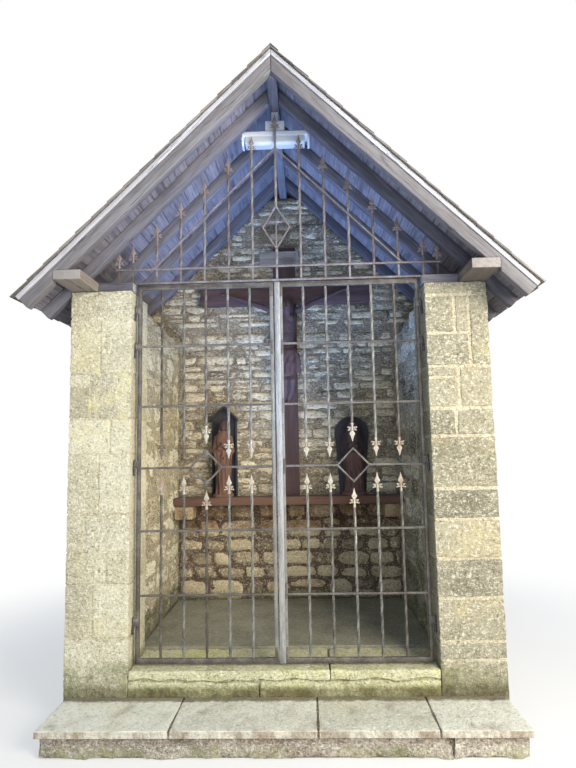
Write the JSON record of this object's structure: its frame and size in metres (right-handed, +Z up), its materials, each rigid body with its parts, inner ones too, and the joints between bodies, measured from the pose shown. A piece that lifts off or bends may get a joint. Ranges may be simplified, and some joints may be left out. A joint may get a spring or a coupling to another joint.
{
  "type": "wayside shrine",
  "caption": "Small open-fronted stone shrine under a timber gable roof, with twisted-bar iron gates, a crucifix and two carved figures on a shelf.",
  "frame": {"origin": "on the ground, below the middle of the whole outline", "axes": "+Z up, -Y towards the gates and the step, +X to the right seen from the front"},
  "size_m": [2.6598, 2.216, 3.442],
  "materials": {
    "pier_stone": "rough dressed blocks",
    "rubble_stone": "coursed rubble with mortar",
    "step_stone": "worn slabs",
    "floor_cement": "trodden cement",
    "roof_timber": "weathered grey brown",
    "verge_timber": "bleached",
    "shingles": "weathered shingles",
    "red_timber": "dark red brown stain",
    "carved_wood": "carved, stained dark",
    "niche_wood": "dark board",
    "title_wood": "pale painted board",
    "gate_iron": "faded dark paint",
    "strip_iron": "worn pale grey",
    "gilt_casting": "cream and gold paint, worn",
    "lamp_white": "white enamel",
    "lamp_lens": "frosted"
  },
  "bodies": {
    "shrine": {"step_base": "step_stone", "step_slabs": "step_stone", "sill": "step_stone", "floor": "floor_cement", "left_pier": "pier_stone", "right_pier": "pier_stone", "left_wall": "rubble_stone", "right_wall": "rubble_stone", "back_wall": "rubble_stone", "corbels": "rubble_stone", "shelf_beam": "red_timber", "cross_post": "red_timber", "cross_arm": "red_timber", "title_board": "title_wood", "corpus": "carved_wood", "left_niche": "niche_wood", "left_figure": "carved_wood", "right_niche": "niche_wood", "right_figure": "carved_wood", "wall_plates": "roof_timber", "grille_bearers": "roof_timber", "ridge_beam": "roof_timber", "rafters": "roof_timber", "left_barges": "roof_timber", "right_barges": "roof_timber", "left_boards": "roof_timber", "right_boards": "roof_timber", "left_verges": "verge_timber", "right_verges": "verge_timber", "left_covering": "shingles", "right_covering": "shingles", "lamp_mount": "lamp_white", "lamp_body": "lamp_white", "lamp_cover": "lamp_lens", "overthrow_frame": "gate_iron", "overthrow_bars": "gate_iron", "overthrow_spears": "gate_iron", "pintles": "gate_iron"},
    "left_leaf": {"left_leaf_frame": "gate_iron", "left_leaf_bars": "gate_iron", "left_leaf_spears": "gilt_casting"},
    "right_leaf": {"right_leaf_frame": "gate_iron", "right_leaf_bars": "gate_iron", "right_leaf_spears": "gilt_casting", "meeting_strip": "strip_iron"}
  },
  "joints": [
    {"name": "left_leaf_hinge", "type": "hinge", "parent": "shrine", "child": "left_leaf", "pos_m": [-0.777, -0.698, 1], "axis": [0, 0, -1], "range_deg": [0, 90]},
    {"name": "right_leaf_hinge", "type": "hinge", "parent": "shrine", "child": "right_leaf", "pos_m": [0.777, -0.698, 1], "axis": [0, 0, 1], "range_deg": [0, 90]}
  ]
}
